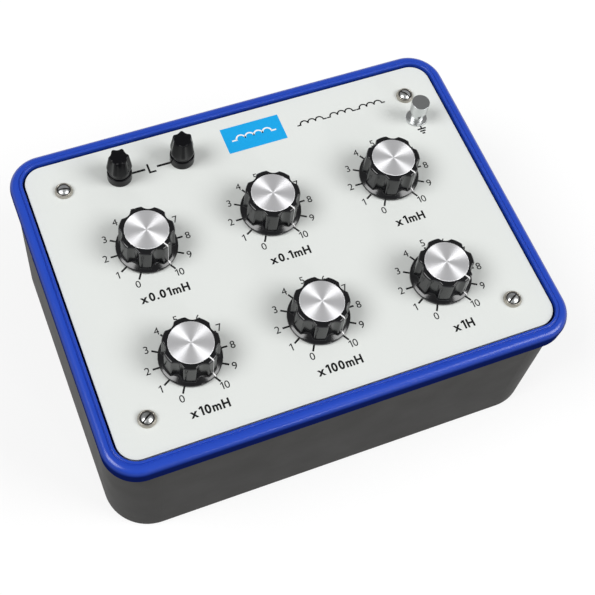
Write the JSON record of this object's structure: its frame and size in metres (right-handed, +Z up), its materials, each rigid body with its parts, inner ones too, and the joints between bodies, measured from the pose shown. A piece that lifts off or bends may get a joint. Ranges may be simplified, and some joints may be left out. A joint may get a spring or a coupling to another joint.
{
  "type": "decade box",
  "caption": "Bench inductance decade box: grey case, blue frame, light panel with rows of lobed knobs on rotary switches, line and earth terminals.",
  "frame": {"origin": "middle of the box at the underside of the case", "axes": "+X along the long side, to the right as the dials read; +Y towards the terminals; +Z up, along the knob spindles"},
  "size_m": [0.256, 0.193, 0.1087],
  "materials": {
    "case_paint": "satin grey paint",
    "frame_paint": "gloss blue paint",
    "panel_paint": "satin off-white paint",
    "nickel": "polished nickel plate",
    "zinc_steel": "zinc plated",
    "brass": "turned",
    "tinned_brass": "tinned",
    "phenolic_sheet": "punched sheet",
    "black_phenolic": "moulded, glossy",
    "turned_aluminium": "face-turned",
    "ferrite": "pressed and ground",
    "winding": "enamelled copper",
    "nylon": "moulded",
    "wire_sleeve": "extruded sleeve"
  },
  "bodies": {
    "box": {"lower_case": "case_paint", "threaded_inserts": "brass", "bezel_frame": "frame_paint", "front_panel": "panel_paint", "cup_washers": "nickel", "panel_screws": "nickel", "switch_drums": "zinc_steel", "switch_nuts": "nickel", "switch_washers": "nickel", "switch_wafers": "phenolic_sheet", "switch_rods": "zinc_steel", "switch_lugs": "tinned_brass", "component_board": "phenolic_sheet", "board_screws": "zinc_steel", "board_pins": "tinned_brass", "pot_cores": "ferrite", "pot_bobbins": "winding", "ring_coils": "winding", "clamp_bolts": "zinc_steel", "ring_clamps": "nylon", "tap_wires": "wire_sleeve", "link_wires": "wire_sleeve", "terminal_collars": "black_phenolic", "terminal_studs": "brass", "terminal_nuts": "nickel", "terminal_tags": "tinned_brass", "earth_base": "nickel", "earth_stud": "nickel"},
    "knob_1": {"knob_1": "black_phenolic", "knob_disc_1": "turned_aluminium", "knob_grub_1": "zinc_steel", "spindle_1": "zinc_steel"},
    "knob_2": {"knob_2": "black_phenolic", "knob_disc_2": "turned_aluminium", "knob_grub_2": "zinc_steel", "spindle_2": "zinc_steel"},
    "knob_3": {"knob_3": "black_phenolic", "knob_disc_3": "turned_aluminium", "knob_grub_3": "zinc_steel", "spindle_3": "zinc_steel"},
    "knob_4": {"knob_4": "black_phenolic", "knob_disc_4": "turned_aluminium", "knob_grub_4": "zinc_steel", "spindle_4": "zinc_steel"},
    "knob_5": {"knob_5": "black_phenolic", "knob_disc_5": "turned_aluminium", "knob_grub_5": "zinc_steel", "spindle_5": "zinc_steel"},
    "knob_6": {"knob_6": "black_phenolic", "knob_disc_6": "turned_aluminium", "knob_grub_6": "zinc_steel", "spindle_6": "zinc_steel"},
    "cap_lift_left": {"cap_sleeve_left": "brass"},
    "cap_left": {"cap_left": "black_phenolic"},
    "cap_lift_right": {"cap_sleeve_right": "brass"},
    "cap_right": {"cap_right": "black_phenolic"},
    "earth_lift": {"earth_sleeve": "brass"},
    "earth_head": {"earth_head": "nickel"}
  },
  "joints": [
    {"name": "knob_1_turn", "type": "hinge", "parent": "box", "child": "knob_1", "pos_m": [-0.07, 0.02269, 0.089], "axis": [0, 0, 1], "range_deg": [0, 300]},
    {"name": "knob_2_turn", "type": "hinge", "parent": "box", "child": "knob_2", "pos_m": [0, 0.02269, 0.089], "axis": [0, 0, 1], "range_deg": [0, 300]},
    {"name": "knob_3_turn", "type": "hinge", "parent": "box", "child": "knob_3", "pos_m": [0.07, 0.02269, 0.089], "axis": [0, 0, 1], "range_deg": [0, 300]},
    {"name": "knob_4_turn", "type": "hinge", "parent": "box", "child": "knob_4", "pos_m": [-0.07, -0.0453, 0.089], "axis": [0, 0, 1], "range_deg": [0, 300]},
    {"name": "knob_5_turn", "type": "hinge", "parent": "box", "child": "knob_5", "pos_m": [0, -0.0453, 0.089], "axis": [0, 0, 1], "range_deg": [0, 300]},
    {"name": "knob_6_turn", "type": "hinge", "parent": "box", "child": "knob_6", "pos_m": [0.07, -0.0453, 0.089], "axis": [0, 0, 1], "range_deg": [0, 300]},
    {"name": "cap_left_lift", "type": "slide", "parent": "box", "child": "cap_lift_left", "axis": [0, 0, 1], "range_m": [0, 0.005]},
    {"name": "cap_left_turn", "type": "hinge", "parent": "cap_lift_left", "child": "cap_left", "pos_m": [-0.06985, 0.069, 0.093], "axis": [0, 0, 1], "range_deg": [0, 2251]},
    {"name": "cap_right_lift", "type": "slide", "parent": "box", "child": "cap_lift_right", "axis": [0, 0, 1], "range_m": [0, 0.005]},
    {"name": "cap_right_turn", "type": "hinge", "parent": "cap_lift_right", "child": "cap_right", "pos_m": [-0.03415, 0.069, 0.093], "axis": [0, 0, 1], "range_deg": [0, 2251]},
    {"name": "earth_lift", "type": "slide", "parent": "box", "child": "earth_lift", "axis": [0, 0, 1], "range_m": [0, 0.005]},
    {"name": "earth_turn", "type": "hinge", "parent": "earth_lift", "child": "earth_head", "pos_m": [0.101, 0.0533, 0.093], "axis": [0, 0, 1], "range_deg": [0, 2251]}
  ],
  "couplings": [
    {"joint": "cap_left_turn", "follows": "cap_left_lift", "rad_per_m": 7854},
    {"joint": "cap_right_turn", "follows": "cap_right_lift", "rad_per_m": 7854},
    {"joint": "earth_turn", "follows": "earth_lift", "rad_per_m": 7854}
  ]
}
